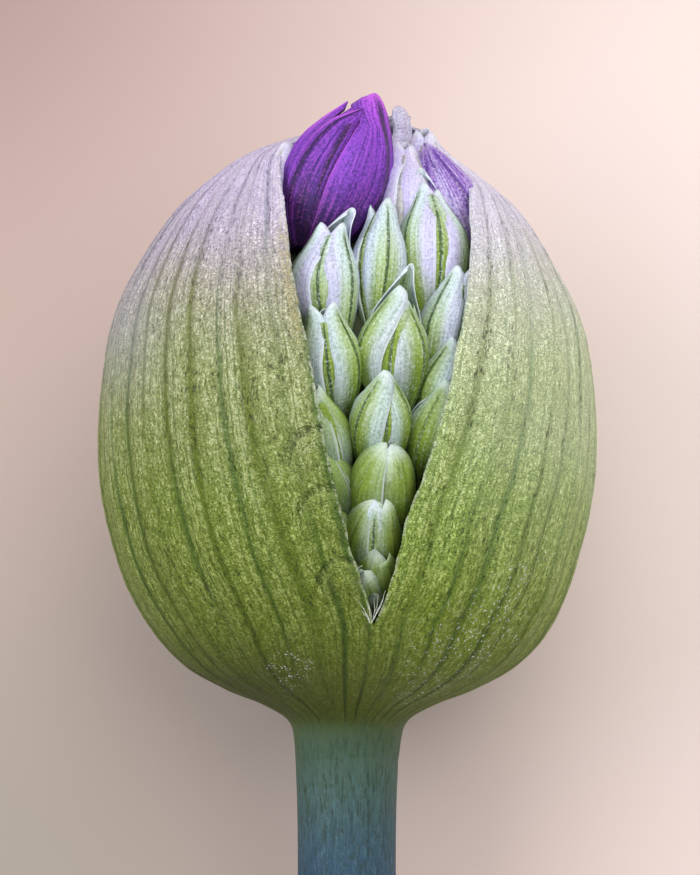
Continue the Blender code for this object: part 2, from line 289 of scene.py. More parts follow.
def thicken(piece, thickness):
    # thickness goes inwards, so the drawn surface stays where it is
    shell = piece.modifiers.new("thickness", "SOLIDIFY")
    shell.thickness = thickness * mm
    shell.offset = -1


def give(piece, node):
    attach(piece, "root")
    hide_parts(node)


# the sheath: one papery bract, split down the front up to its beak
sheath = {
    "outline": [
        (4.45, -4.9), (4.66, -4.1), (4.76, -3.2), (4.88, -2.2), (5.14, -1.2), (5.95, -0.3), (8.2, 0.9),
        (11.2, 2.1), (14.9, 4.2), (17.9, 7.4), (20.2, 11.8), (21.9, 18.3), (22.4, 24.8), (22.1, 30.5),
        (20.9, 35.9), (18.4, 41.0), (15.3, 45.4), (11.7, 48.6), (8.3, 50.9), (5.2, 52.5), (2.9, 53.3),
        (2.2, 54.0),
    ],
    # height, then the left and right edge's angle round the bud in degrees
    "splitEdges": [
        (8.2, 6.3, 6.3), (11.0, 4.2, 9.8), (14.7, 1.0, 12.5), (18.1, -1.0, 14.5), (21.5, -3.4, 17.8),
        (25.5, -5.5, 21.1), (29.8, -7.5, 24.6), (32.7, -9.0, 26.6), (36.0, -11.6, 30.2),
        (40.5, -15.4, 35.8), (45.3, -21.0, 46.0), (48.3, -29.5, 62.0), (50.8, -46.0, 75.0),
        (52.5, -85.0, 100.0), (53.3, -115.0, 125.0), (54.0, -140.0, 150.0),
    ],
    "beakLean": (4.9, 2.5),
    "beakStart": 50.0,
    "beakBend": 1.6,
    "baseFullness": 0.4,
    "baseHeight": 6.0,
    "thickness": 0.24,
    "rows": 190,
    "columns": 250,
    "crowding": 0.12,
    "ribs": 20,
    "ribHeight": 0.11,
    # unevenness: scale of the noise round and up the sheath, its height, whether the foot has it too
    "uneven": [
        (2.45, 0.11, 0.16, False), (21.0, 0.9, 0.05, False),
        (15.4, 0.12, 0.06, True), (35.0, 0.35, 0.035, True),
    ],
    "edgeWidth": 1.6,
    "edgeTear": 0.16,
    "edgeCurl": 0.3,
}

outline = curveThrough(sheath["outline"], 600)
outlineTurn = np.gradient(outline, axis=0)
outlineNormal = np.column_stack([outlineTurn[:, 1], -outlineTurn[:, 0]])
outlineNormal /= np.linalg.norm(outlineNormal, axis=1)[:, None]
outlineTravel = np.concatenate([[0], np.cumsum(np.linalg.norm(np.diff(outline, axis=0), axis=1))])
splitEdges = curveThrough(sheath["splitEdges"], 400)
sheathTop = sheath["outline"][-1][1]


def radiusAt(height, inset=0.0):
    inner = outline - inset * outlineNormal
    return float(np.interp(height, np.maximum.accumulate(inner[:, 1]), inner[:, 0]))


def splitAt(height):
    left = np.interp(height, splitEdges[:, 0], splitEdges[:, 1])
    right = np.interp(height, splitEdges[:, 0], splitEdges[:, 2])
    return float(left), float(right)


def budCentre(height):
    # the sheath is fuller on the right low down, and leans right and back into its beak
    low, start = sheath["baseHeight"], sheath["beakStart"]
    fuller = sheath["baseFullness"] * math.exp(-(((height - low) / low) ** 2))
    climb = (max(0.0, height - start) / (sheathTop - start)) ** sheath["beakBend"]
    return fuller + sheath["beakLean"][0] * climb, sheath["beakLean"][1] * climb


def onBud(angle, height, inset=0.0):
    radius = radiusAt(height, inset)
    turn = math.radians(angle)
    middle = budCentre(height)
    return Vector((middle[0] + radius * math.sin(turn), middle[1] - radius * math.cos(turn), height))


def inSplit(x, height, inset):
    # the point that far inside the sheath's outside, seen at x and height from the front
    radius = radiusAt(height, inset)
    return Vector((x, -math.sqrt(max(radius**2 - x**2, 0.0)), height))


# where florets press on the thin sheath beside the split: across and height of each top as seen from
# the front, half width, length, relief, and how strong its crease is
pressedFlorets = [
    (-2.7, 25.3, 2.3, 5.2, 0.5, 1.0), (-1.9, 20.1, 2.1, 5.4, 0.5, 0.9),
    (-0.4, 13.9, 1.7, 3.8, 0.4, 1.0), (-5.3, 28.4, 2.0, 5.0, 0.16, 0.2),
    (-5.4, 22.4, 1.9, 5.0, 0.18, 0.25), (-4.1, 17.0, 1.7, 4.5, 0.16, 0.2),
]


def pressedRelief(angle, height, radius):
    # rounded tops, fading downwards
    relief = 0.0
    if abs(angle) > 40:
        return relief
    x = radius * math.sin(math.radians(angle))
    for middle, top, half, length, rise, _ in pressedFlorets:
        down = top - height
        if down > length or down < 0:
            continue
        bulge = half * math.sqrt(min(1.0, down / half))
        side = (x - middle) / max(bulge, 0.01)
        if abs(side) < 1:
            fade = 1 - float(eased(down, 0.4 * length, length))
            relief = max(relief, rise * math.sqrt(1 - side**2) * float(eased(down, 0, 0.5)) * fade)
    return relief


def sheathPoint(share, near, row):
    # a point of the sheath: share goes round from the right edge to the left, near is the edge's pull
    radius, height, outward, upward = row
    left, right = splitAt(height)
    opened = right - left
    angle = right + (360 - opened) * share
    room = min(1.0, opened / 8)
    tear = softly(0.55 * height, 3.0 * round(share), 1.7) + 0.6 * softly(2.1 * height, round(share), 9.0)
    angle += room * near * math.degrees(sheath["edgeTear"] * tear / max(radius, 3.0))
    turn = 2 * math.pi * share
    calm = max(0.0, min(1.0, (height + 0.4) / 6, (sheathTop - height) / 8))
    wavy = float(eased(height, -2.5, 2.0))
    relief = sheath["ribHeight"] * calm * math.cos(sheath["ribs"] * turn)
    for around, up, rise, atFoot in sheath["uneven"]:
        relief += rise * (wavy if atFoot else calm) * aroundNoise(turn, around, up * height)
    relief += pressedRelief((angle + 180) % 360 - 180, height, radius)
    relief -= room * sheath["edgeCurl"] * near**2
    radius += outward * relief
    middle = budCentre(height)
    turn = math.radians(angle)
    across, depth = middle[0] + radius * math.sin(turn), middle[1] - radius * math.cos(turn)
    return across, depth, height + upward * relief


farFromRim = 9.0


def sheathRows():
    splitStart = np.interp(sheath["splitEdges"][0][0], outline[:, 1], outlineTravel)
    below = int(sheath["rows"] * splitStart / outlineTravel[-1])
    lowRows = np.linspace(0, splitStart, below, endpoint=False)
    highRows = np.linspace(splitStart, outlineTravel[-1], sheath["rows"] - below)
    return np.concatenate([lowRows, highRows]), below


def makeSheath(material):
    travels, below = sheathRows()
    columns = sheath["columns"]
    steps = np.linspace(0, 1, columns + 1)
    shares = steps - sheath["crowding"] * np.sin(2 * math.pi * steps)
    points = []
    vectors = {"grain": [], "rim": [], "skin": []}
    for travel in travels:
        row = [float(np.interp(travel, outlineTravel, values)) for values in (*outline.T, *outlineNormal.T)]
        height = row[1]
        left, right = splitAt(height)
        covered = 360 - right + left
        arc = math.radians(covered) * radiusAt(height)
        for share in shares:
            away = min(share, 1 - share) * arc
            points.append(sheathPoint(share, max(0.0, 1 - away / sheath["edgeWidth"]), row))
            turn = 2 * math.pi * share
            angle = math.radians(right + covered * share)
            vectors["grain"].append((math.sin(turn), math.cos(turn), travel))
            vectors["rim"].append((away if right - left > 0.01 else farFromRim, share, height))
            vectors["skin"].append((math.sin(angle), math.cos(angle), height))
    # below the split the last column is the first, so the sheet is closed there
    joined = np.arange(len(points))
    seam = (columns + 1) * np.arange(below + 1)
    joined[seam + columns] = seam
    used, faces = np.unique(joined[sheetFaces(len(travels), columns + 1)], return_inverse=True)
    vectors = {key: np.array(values)[used] for key, values in vectors.items()}
    lain = aboveFloor(np.array(points)[used])
    piece = meshPiece("sheathSkin", lain, faces.reshape(-1, 4), material, vectors)
    thicken(piece, sheath["thickness"])
    give(piece, "sheath")


# the stem's skin, which the sheath's foot shares where it runs out along the stem
stemColours = [
    (0.0, (0.013, 0.05, 0.12)), (0.35, (0.03, 0.076, 0.105)), (0.62, (0.046, 0.098, 0.078)),
    (0.84, (0.06, 0.108, 0.058)), (1.0, (0.074, 0.11, 0.03)),
]


def stemTone(g, place):
    # its height, noises and colour, from the direction round the stem that the mesh carries
    skin = g.carried("skin")
    height = g.axis(skin, "Z")

    def drawnOut(acrossScale, alongScale, detail):
        return g.noise(g.stretch(skin, (acrossScale, acrossScale, alongScale)), 1.0, detail, 0.65)

    lines = drawnOut(17.0, 0.6, 4.0)
    broad = drawnOut(5.0, 0.16, 2.0)
    scales = drawnOut(40.0, 3.2, 2.0)
    bloom = g.noise(place, 1500.0, 3.0, 0.7)
    tone = g.ramp(stemColours, (height + 18.0 + 5.0 * (broad - 0.5)) / 18.0)
    lower = g.smooth(height, 0.0, -7.0)
    dark = g.smooth(lines + 0.35 * (bloom - 0.5), 0.5, 0.34)
    tone = g.blend(dark * (0.35 + 0.4 * lower), tone, colour(0.018, 0.036, 0.02))
    light = g.smooth(lines + 0.3 * (bloom - 0.5), 0.52, 0.7)
    tone = g.blend(light * 0.5 * lower, tone, colour(0.075, 0.155, 0.17))
    scaly = g.smooth(scales, 0.56, 0.68) * g.smooth(broad, 0.4, 0.55)
    tone = g.blend(scaly * 0.5 * lower, tone, colour(0.13, 0.2, 0.3))
    return height, lines, bloom, tone


# sheath colours by height: painted shade for crevices and creases, the tissue itself, its dry pale grains,
# and two kinds of vein
sheathColours = {
    "shade": [
        (0.0, (0.018, 0.03, 0.003)), (0.3, (0.035, 0.06, 0.01)), (0.6, (0.075, 0.09, 0.045)),
        (0.8, (0.14, 0.13, 0.14)), (1.0, (0.24, 0.17, 0.34)),
    ],
    "tissue": [
        (0.0, (0.108, 0.146, 0.01)), (0.14, (0.148, 0.206, 0.015)), (0.36, (0.2, 0.28, 0.04)),
        (0.58, (0.31, 0.36, 0.13)), (0.72, (0.41, 0.39, 0.28)), (0.84, (0.58, 0.5, 0.65)),
        (0.92, (0.76, 0.66, 0.88)), (1.0, (0.87, 0.75, 1.0)),
    ],
    "grain": [
        (0.0, (0.23, 0.29, 0.06)), (0.3, (0.43, 0.52, 0.16)), (0.6, (0.62, 0.67, 0.4)),
        (0.8, (0.77, 0.72, 0.74)), (1.0, (0.9, 0.85, 1.0)),
    ],
    "vein": [
        (0.0, (0.055, 0.085, 0.001)), (0.25, (0.085, 0.14, 0.002)), (0.5, (0.12, 0.175, 0.008)),
        (0.72, (0.18, 0.2, 0.05)), (0.86, (0.28, 0.23, 0.28)), (1.0, (0.4, 0.32, 0.6)),
    ],
    "coolVein": [
        (0.0, (0.034, 0.07, 0.003)), (0.3, (0.05, 0.12, 0.008)), (0.6, (0.09, 0.18, 0.04)),
        (0.8, (0.2, 0.23, 0.2)), (1.0, (0.3, 0.28, 0.5)),
    ],
}


def sheathMaterial():
    g = Graph("paperySheath")
    grain = g.carried("grain")
    across, around = g.axis(grain, "X"), g.axis(grain, "Y")
    rim = g.carried("rim")
    edge, height = g.axis(rim, "X"), g.axis(rim, "Z")
    place = g.add("TexCoord", out="Object")
    right, depth, level = (g.axis(place, name) / mm for name in "XYZ")

    def streaks(acrossScale, alongScale, detail=3.0, offset=0.0, roughness=0.55):
        # noise drawn out along the veins
        stretched = g.stretch(grain, (acrossScale, acrossScale, alongScale))
        return g.noise(g.shift(stretched, (offset, offset, offset)), 1.0, detail, roughness)

    # long veins run from the neck to the tip, a whole number of them round the bud
    broad = streaks(5.0, 0.02, 1.0)
    sway = streaks(11.0, 0.06, 2.0, 4.0)
    turn = g.maths("ARCTAN2", across, around)
    drift = 5.0 * (broad - 0.5) + 1.3 * (sway - 0.5)
    mainWave = g.maths("COSINE", 42 * turn + drift)
    fineWave = g.maths("COSINE", 126 * turn + 2.4 * drift)
    strength = g.smooth(streaks(15.0, 0.04, 1.0, 7.0), 0.36, 0.56, 0.3, 1.0)
    cool = g.smooth(streaks(9.0, 0.015, 1.0, 12.0), 0.46, 0.56)
    mainVein = g.smooth(mainWave + 0.5 * (sway - 0.5), 0.7, 1.0) * strength
    besideVein = g.smooth(mainWave, -0.1, 0.85) * strength
    fineVein = g.smooth(fineWave, 0.5, 1.0) * g.smooth(sway, 0.42, 0.58)

    # between them the tissue is finely crinkled and grainy, with dark cracks along some veins
    blotch = g.noise(place, 130.0, 3.0, 0.5)
    mottle = g.noise(place, 1300.0, 3.0, 0.65)
    speck = g.noise(place, 3600.0, 2.0, 0.7)
    fibre = streaks(84.0, 1.0, 4.0, 9.0, 0.7)
    curls = g.noise(g.shift(place, (0.013, 0.02, 0.007)), 3400.0, 1.0, 0.6)
    wrinkle = g.smooth(abs(curls - 0.5), 0.1, 0.0)
    cracks = streaks(60.0, 1.3, 4.0, 2.0, 0.75)
    texture = 0.025 + 0.46 * fibre + 0.34 * speck + 0.18 * mottle - 0.03 * wrinkle
    share = (height + 5.0 * (blotch - 0.5)) / sheathTop
    shade, tissue, pale, warmVein, coolVein = (g.ramp(stops, share) for stops in sheathColours.values())
    vein = g.blend(cool, warmVein, coolVein)
    calm = 1 - 0.4 * g.smooth(height, 13.0, 2.0)
    skin = g.blend(g.smooth(texture + 0.16 * (sway - 0.5), 0.48, 0.6) * calm, tissue, pale)
    skin = g.blend(g.smooth(texture + 0.1 * (sway - 0.5), 0.48, 0.36) * calm, skin, shade)
    skin = g.blend(besideVein * 0.5, skin, g.blend(0.4, vein, tissue))
    skin = g.blend(mainVein * (0.7 + 0.8 * (fibre - 0.5)), skin, vein)
    skin = g.blend(fineVein * 0.5, skin, vein)
    # paler and silvery to the right and up high: partly the sheath's own silvery tissue, partly painted
    # light from the right
    silverAndLight = g.smooth(right + 16.0 * (blotch - 0.5) + 0.5 * (height - 26), -2.0, 26.0)
    silvery = g.blend(0.45, pale, colour(0.74, 0.84, 0.78))
    skin = g.blend(silverAndLight * 0.34 * g.smooth(height, 6.0, 24.0), skin, silvery)
    # painted light: the whole right side is brightened
    skin = g.blend(g.smooth(right, -1.0, 8.0), skin, colour(1.25, 1.3, 1.31), "MULTIPLY")
    # painted shade: darker on the lower left, low down
    shaded = g.smooth(right, 0.0, -9.0) * g.smooth(height, 9.0, 2.0)
    skin = g.blend(shaded, skin, colour(0.68, 0.68, 0.64), "MULTIPLY")
    bluish = g.smooth(height + 8.0 * (blotch - 0.5), 34.0, 52.0)
    bluish = bluish + g.smooth(right, -14.0, -21.0) * g.smooth(height, 25.0, 36.0)
    skin = g.blend(bluish * 0.26, skin, colour(0.66, 0.6, 1.0))
    crack = g.smooth(cracks, 0.44, 0.36) * g.smooth(blotch + 0.3 * (besideVein - 0.5), 0.5, 0.62)
    skin = g.blend(crack * 0.75 * calm, skin, shade)

    # each floret pressed against the sheath ends in a crease darkened with painted shade, with painted light
    # on the bulge below it
    creaseShade, lit = 0.0, 0.0
    ragged = 0.34 * (mottle - 0.5) + 0.14 * (speck - 0.5)
    for middle, top, half, _, _, strong in pressedFlorets:
        offSide = (right - middle) / half
        above = (level - (top - half)) / half
        upper = g.maths("MAXIMUM", above, 0.0)
        ring = g.maths("SQRT", offSide * offSide + upper * upper) + ragged
        reach = g.smooth(above - 0.5 * offSide, -0.2, 1.0) * strong
        creaseShade = creaseShade + g.smooth(abs(ring - 1.12), 0.26, 0.0) * reach
        besideRing = g.smooth(ring, 0.3, 0.9) * g.smooth(ring, 1.1, 0.95)
        lit = lit + besideRing * g.smooth(above, -2.0, 0.4) * strong
    front = g.smooth(depth, -4.0, -8.0)
    creaseShade = g.maths("MINIMUM", creaseShade, 1.0) * front
    lit = g.maths("MINIMUM", lit, 1.0) * front
    skin = g.blend(lit * 0.4, skin, g.blend(0.5, pale, tissue))
    skin = g.blend(creaseShade * g.smooth(fibre, 0.66, 0.36) * 0.75, skin, shade)

    # painted glints: small white specks low on the front
    glintPatch = g.smooth(abs(right - 11.0 - 0.8 * (level - 7)) + abs(level - 7) * 0.6, 8.0, 2.0)
    glintPatch = glintPatch + g.smooth(abs(right + 5.0) + abs(level - 4.2), 3.6, 1.0)
    glint = g.smooth(g.noise(place, 4400.0, 1.0, 0.4), 0.63, 0.67)
    glint = glint * g.smooth(mottle + 0.4 * (fibre - 0.5), 0.44, 0.56)
    skin = g.blend(glint * glintPatch * front, skin, colour(0.86, 0.9, 0.9))

    # torn rims: bluish white high on the left, ochre below it, white bits on the right
    onLeft = g.smooth(across, 0.0, -0.001)
    rimWidth = 0.3 + 0.5 * (mottle - 0.5) + 0.5 * g.smooth(height, 41.0, 46.0) * onLeft
    paleRim = g.smooth(edge / rimWidth, 0.95, 0.35) * g.smooth(mottle + 0.6 * (speck - 0.5), 0.4, 0.56)
    skin = g.blend(paleRim * 0.7, skin, g.blend(0.3, pale, colour(0.75, 0.82, 0.95)))
    fringe = g.smooth(edge, 1.6, 0.5) * g.smooth(height, 31.0, 36.0) * g.smooth(height, 46.0, 42.0)
    skin = g.blend(fringe * onLeft * g.smooth(fibre, 0.4, 0.6) * 0.6, skin, colour(0.5, 0.42, 0.16))

    # the foot fades into the stem
    foot = g.smooth(height + 1.5 * (fibre - 0.5), 0.9, -1.8)
    _, lines, bloom, tone = stemTone(g, place)
    skin = g.blend(foot, skin, tone)

    relief = 0.7 * fibre + 0.5 * speck + 0.5 * mottle - 0.5 * wrinkle - 0.5 * mainVein - crack
    relief = relief * (1 - foot) + 0.5 * foot * (lines + 0.5 * bloom)
    fine = g.add("Bump", sockets={"Height": relief, "Distance": 0.0003, "Strength": 0.9})
    bump = g.add("Bump", sockets={"Height": lit - 0.6 * creaseShade, "Distance": 0.0003, "Normal": fine})
    return g.tissue(skin, 0.6 - 0.1 * texture, bump, 0.06, (0.6, 0.8, 0.3), 0.25)


# the sheath's withered beak, a soft finger on its back wall
beak = {
    # across, depth and height along its middle, then its radius
    "route": [
        (4.2, 1.6, 49.6, 0.9), (4.8, 1.9, 51.2, 1.0), (5.0, 2.1, 52.5, 0.84), (4.85, 2.1, 53.5, 0.8),
        (4.7, 2.1, 54.2, 0.7), (4.65, 2.1, 54.65, 0.46), (4.65, 2.1, 54.88, 0.1),
    ],
    "rows": 44,
    "columns": 28,
}


def makeBeak(material):
    route = curveThrough(beak["route"], beak["rows"])
    points, grain = [], []
    for number, (x, y, height, radius) in enumerate(route):
        for turn in ringTurns(beak["columns"]):
            folds = 1 + 0.1 * math.cos(3 * turn + 0.05 * number) + 0.04 * math.cos(9 * turn)
            folds += 0.1 * aroundNoise(turn, 2, height * 1.1)
            points.append((x + radius * folds * math.sin(turn), y - radius * folds * math.cos(turn), height))
            grain.append((math.sin(turn) * 0.2, math.cos(turn) * 0.2, height))
    faces = ringFaces(beak["rows"], beak["columns"])
    vectors = {"grain": grain, "rim": [(farFromRim, 0.5, sheathTop)] * len(points)}
    piece = meshPiece("sheathBeak", points, faces, material, vectors)
    give(piece, "sheath")


# fine white hairs where the split begins: foot and tip as seen from the front, thickness
splitHairs = [
    ((2.0, 8.3), (1.55, 9.75), 0.055), ((2.0, 8.25), (2.95, 9.9), 0.055),
    ((1.9, 8.6), (1.35, 9.5), 0.035), ((2.3, 8.8), (3.3, 10.6), 0.035), ((1.7, 9.0), (1.1, 10.4), 0.03),
    ((2.7, 9.4), (3.5, 11.3), 0.03), ((2.1, 8.7), (2.0, 10.2), 0.025), ((2.3, 8.9), (2.5, 10.6), 0.025),
    ((2.0, 9.0), (1.7, 10.8), 0.025), ((2.4, 9.3), (2.9, 11.0), 0.025),
]


def makeHairs():
    g = Graph("whiteHairs")
    material = g.shade({"Base Color": colour(0.82, 0.88, 0.8), "Roughness": 0.5})
    points, faces = [], []
    sides, steps = 6, 12
    for (footX, footZ), (tipX, tipZ), thickness in splitHairs:
        faces += [[len(points) + i for i in face] for face in ringFaces(steps, sides)]
        for share in np.linspace(0, 1, steps):
            x = footX + (tipX - footX) * share + 0.08 * math.sin(5 * share)
            height = footZ + (tipZ - footZ) * share
            middle = inSplit(x, height, -0.12 - 0.2 * math.sin(3 * share))
            thin = thickness * (1 - 0.8 * share)
            for turn in ringTurns(sides):
                points.append(middle + Vector((thin * math.cos(turn), thin * math.sin(turn), 0)))
    piece = meshPiece("splitHairs", points, faces, material)
    give(piece, "sheath")


sheathLook = sheathMaterial()
makeSheath(sheathLook)
makeBeak(sheathLook)
makeHairs()
print("sheath made")

# the stem: round, finely lined, cut clean across
stem = {
    "outline": [
        (4.7, 0.0), (4.72, -1.0), (4.74, -2.0), (4.7, -3.2), (4.6, -5.2), (4.43, -12.0), (4.40, -36.0),
        (4.4, -61.6),
    ],
    "rows": 150,
    "columns": 128,
    "lineHeight": 0.035,
}


def makeStem(material):
    side = curveThrough(stem["outline"], stem["rows"])
    length, radius, bevel = lying["stemLength"], lying["cutRadius"], lying["cutBevel"]
    cut = [(radius, -length + bevel), (radius - 0.06, -length + 0.08), (radius - bevel, -length)]
    inner = [(share * (radius - bevel), -length) for share in (0.93, 0.8, 0.62, 0.42, 0.2, 0.05)]
    profile = [(0.2, 2.4), (3.4, 1.8), (4.6, 0.8), *map(tuple, side), *cut, *inner]
    points, skin = [], []
    for radius, height in profile:
        face = height <= -length + 0.001
        for turn in ringTurns(stem["columns"]):
            lines = aroundNoise(turn, 8, height * 0.03) + 0.5 * aroundNoise(turn, 20, height * 0.08)
            sway = 0.05 * aroundNoise(turn, 1.2, height * 0.09)
            grown = radius + (0 if face else stem["lineHeight"] * lines + sway)
            drop = 0.05 * max(0.0, softly(radius * 0.9, turn * 2, 5.0)) if face else 0.0
            points.append((grown * math.sin(turn), -grown * math.cos(turn), height + drop))
            skin.append((math.sin(turn), math.cos(turn), height))
    faces = ringFaces(len(profile), stem["columns"], down=True)
    piece = meshPiece("stemSkin", aboveFloor(points), faces, material, {"skin": skin})
    give(piece, "stem")


def stemMaterial():
    g = Graph("blueGreenStem")
    place = g.add("TexCoord", out="Object")
    height, lines, bloom, tone = stemTone(g, place)
    cutFace = g.smooth(height, 0.07 - lying["stemLength"], 0.02 - lying["stemLength"])
    spongy = g.smooth(g.noise(place, 1500.0, 2.0), 0.4, 0.6)
    pith = g.blend(spongy, colour(0.42, 0.5, 0.25), colour(0.6, 0.64, 0.42))
    relief = lines + 0.5 * bloom
    bump = g.add("Bump", sockets={"Height": relief, "Distance": 0.00016, "Strength": 0.6})
    return g.tissue(g.blend(cutFace, tone, pith), 0.45 + 0.2 * bloom, bump, 0.05, (0.5, 0.8, 0.4), 0.3)


makeStem(stemMaterial())
print("stem made")

# florets: three outer tepals over three inner ones, each a thin curved sheet of its own
tepal = {
    # share of the floret's length, then share of its full width
    "girth": [
        (0.0, 0.25), (0.145, 0.52), (0.254, 0.74), (0.36, 0.9), (0.47, 0.99), (0.55, 1.0),
        (0.616, 0.96), (0.69, 0.87), (0.76, 0.74), (0.833, 0.57), (0.906, 0.4), (0.96, 0.28),
        (1.0, 0.15),
    ],
    "closedGirth": [
        (0.0, 0.3), (0.12, 0.55), (0.28, 0.84), (0.45, 0.99), (0.58, 1.0), (0.7, 0.93), (0.8, 0.8),
        (0.88, 0.63), (0.94, 0.43), (0.98, 0.2), (1.0, 0.02),
    ],
    "pointedGirth": [
        (0.0, 0.28), (0.1, 0.6), (0.2, 0.8), (0.3, 0.92), (0.43, 1.0), (0.55, 0.98), (0.65, 0.88),
        (0.76, 0.7), (0.89, 0.45), (0.95, 0.3), (0.985, 0.17), (1.0, 0.05),
    ],
    "innerGirth": 0.93,
    "innerSpan": 52.0,
    "innerLength": 0.9,
    "keel": 0.045,
    "lap": 8.0,
    "tipLap": 30.0,
    "thickness": 0.09,
}


def floret(tip, base, width, **more):
    return {"tip": tip, "base": base, "width": width, **more}


def petal(left, keel, right, **more):
    # angles round the floret, fixed or by share of its length
    return {"left": left, "keel": keel, "right": right, **more}


backPetal = petal(120, 180, 240, end=0.95)


def floretFrame(tip, base, outward):
    # the floret's own axes: Z from base to tip, -Y turned outward
    along = (tip - base).normalized()
    outward = (outward - outward.dot(along) * along).normalized()
    axes = Matrix((along.cross(outward), -outward, along)).transposed().to_4x4()
    return Matrix.Translation(base) @ axes


class FloretBunch:
    # gathers florets into one mesh, each tepal a sheet of rows and columns
    def __init__(self, rows=30, columns=13):
        self.rows = rows
        self.columns = columns
        self.sheets = []
        self.tepals = []
        self.florets = []

    def addFloret(self, tip, base, outward, seed, spot):
        dice = random.Random(seed)
        place = np.array(floretFrame(tip, base, outward))
        for part in spot.get("tepals") or self.closedTepals(spot, dice):
            self.addTepal(part, (tip - base).length, spot, place, dice)

    def closedTepals(self, spot, dice):
        # three outer tepals that meet at the tip over three inner ones
        seam = spot.get("seam", 0)
        keels = (seam - 60, seam + 60, seam + 180)
        gaps = spot.get("gap", (7, 7))
        shifts = spot.get("tips", ((-0.3, 0), (0.3, -0.3), (0, 0.2)))
        tip = spot.get("apex", 0.78)
        shares = np.linspace(0, 1, 25)
        opened = eased(-shares, -tip - 0.04, -tip + 0.3) * eased(shares, 0.02, 0.25)
        lap = tepal["lap"] + tepal["tipLap"] * eased(shares, 0.8, 0.97)
        lap = lap * eased(shares, tip - 0.1, tip + 0.08)
        sides = ((5, gaps[0]), (gaps[1], 5), (5, 5))
        for keel, (left, right), shift in zip(keels, sides, shifts):
            leftSide = list(zip(shares, keel - 60 - lap + left * opened))
            yield petal(leftSide, keel, list(zip(shares, keel + 60 + lap - right * opened)), tip=shift)
        span = tepal["innerSpan"]
        form = {"stand": tepal["innerGirth"], "end": tepal["innerLength"], "inner": 1}
        for middle in (seam, seam + 120, seam + 240):
            tilt = (dice.uniform(-0.2, 0.2), -0.3)
            yield petal(middle - span, middle, middle + span, tip=tilt, **form)

    def addTepal(self, part, length, spot, place, dice):
        # left, keel and right are angles round the floret, fixed or by share of its length
        end = part.get("end", 1.0)
        inner = part.get("inner", 0)
        shiftX, shiftZ = part.get("tip", (0, 0))
        rows = np.linspace(0, 1, self.rows)[:, None]
        along = rows * end
        across = np.linspace(-1, 1, self.columns)[None, :]
        side = np.abs(across)

        def angleOf(name):
            given = part[name]
            return np.interp(along, *zip(*given)) if isinstance(given, list) else np.full_like(along, given)

        left, keel, right = angleOf("left"), angleOf("keel"), angleOf("right")
        keel = np.clip(keel, left + 0.5, np.maximum(right - 0.5, left + 0.5))
        angle = np.where(across < 0, across * (keel - left), across * np.maximum(right - keel, 0.5))
        shares, widths = zip(*tepal[spot.get("girth", "girth")])
        girth = np.interp(along, shares, widths) * spot["width"] / 2
        swell = part.get("stand", 1.0) + tepal["keel"] * np.exp(-((angle / 9.0) ** 2)) * (1 - along**4)
        swell = swell - 0.035 * side**2
        # the right margin lies over its neighbour, the left one under
        swell = swell + 0.03 * np.sign(across) * side**4 * (1 - inner) * part.get("curl", 1.0)
        waves = np.sin(along * dice.uniform(9, 15) + dice.uniform(0, 6.28)) * side**5
        swell = swell + 0.018 * waves * eased(along, 0.2, 0.5)
        sway = 0.5 * np.sin(along * dice.uniform(3, 6) + dice.uniform(0, 6.28))
        pleats = np.cos(angle / 57.3 * 9 + dice.uniform(0, 6.28) + sway)
        pleats = pleats + 0.6 * np.cos(angle / 57.3 * 17 + dice.uniform(0, 6.28) + 2 * sway)
        pleat = spot.get("pleat", 0.008)
        swell = swell + pleat * pleats * eased(along, 0.05, 0.3) * (1 - side**4)
        swell = swell + 0.012 * np.sin(along * 7 + across * 1.7 + dice.uniform(0, 6.28))
        radius = girth * swell
        turn = np.radians(keel + angle)
        droop = spot.get("droop", 0.05) * side**2 * eased(rows, 0.6, 1.0)
        radius = radius * (1 - 0.16 * max(0, shiftZ) * eased(rows, 0.7, 1.0))
        height = length * (along - droop) + shiftZ * eased(rows, 0.55, 1.0)
        reach = np.clip((rows - 0.68) / 0.32, 0, 1) ** 2
        bow = spot.get("bow", 0) * 4 * along * (1 - along)
        x = radius * np.sin(turn) + reach * shiftX + bow
        hook = reach * spot.get("hook", 0.25) * dice.uniform(0.3, 1.0)
        y = -(radius + hook * np.cos(np.radians(keel))) * np.cos(turn)
        grid = np.stack(np.broadcast_arrays(x, y, height, 1.0), -1).reshape(-1, 4)
        self.sheets.append((grid @ place.T)[:, :3])
        label = dice.random() + 2 * inner
        self.tepals.append(np.stack(np.broadcast_arrays(across, along, label), -1).reshape(-1, 3))
        whole = (spot.get("lilac", 0), spot.get("green", 0) - part.get("whiten", 0), inner)
        self.florets.append(np.tile(np.array(whole, float), (len(grid), 1)))

    def makePiece(self, name, material, node):
        vectors = {"tepal": np.vstack(self.tepals), "floret": np.vstack(self.florets)}
        starts = range(0, len(self.sheets) * self.rows * self.columns, self.rows * self.columns)
        faces = np.vstack([sheetFaces(self.rows, self.columns) + start for start in starts])
        piece = meshPiece(name, np.vstack(self.sheets), faces, material, vectors)
        thicken(piece, tepal["thickness"])
        give(piece, node)


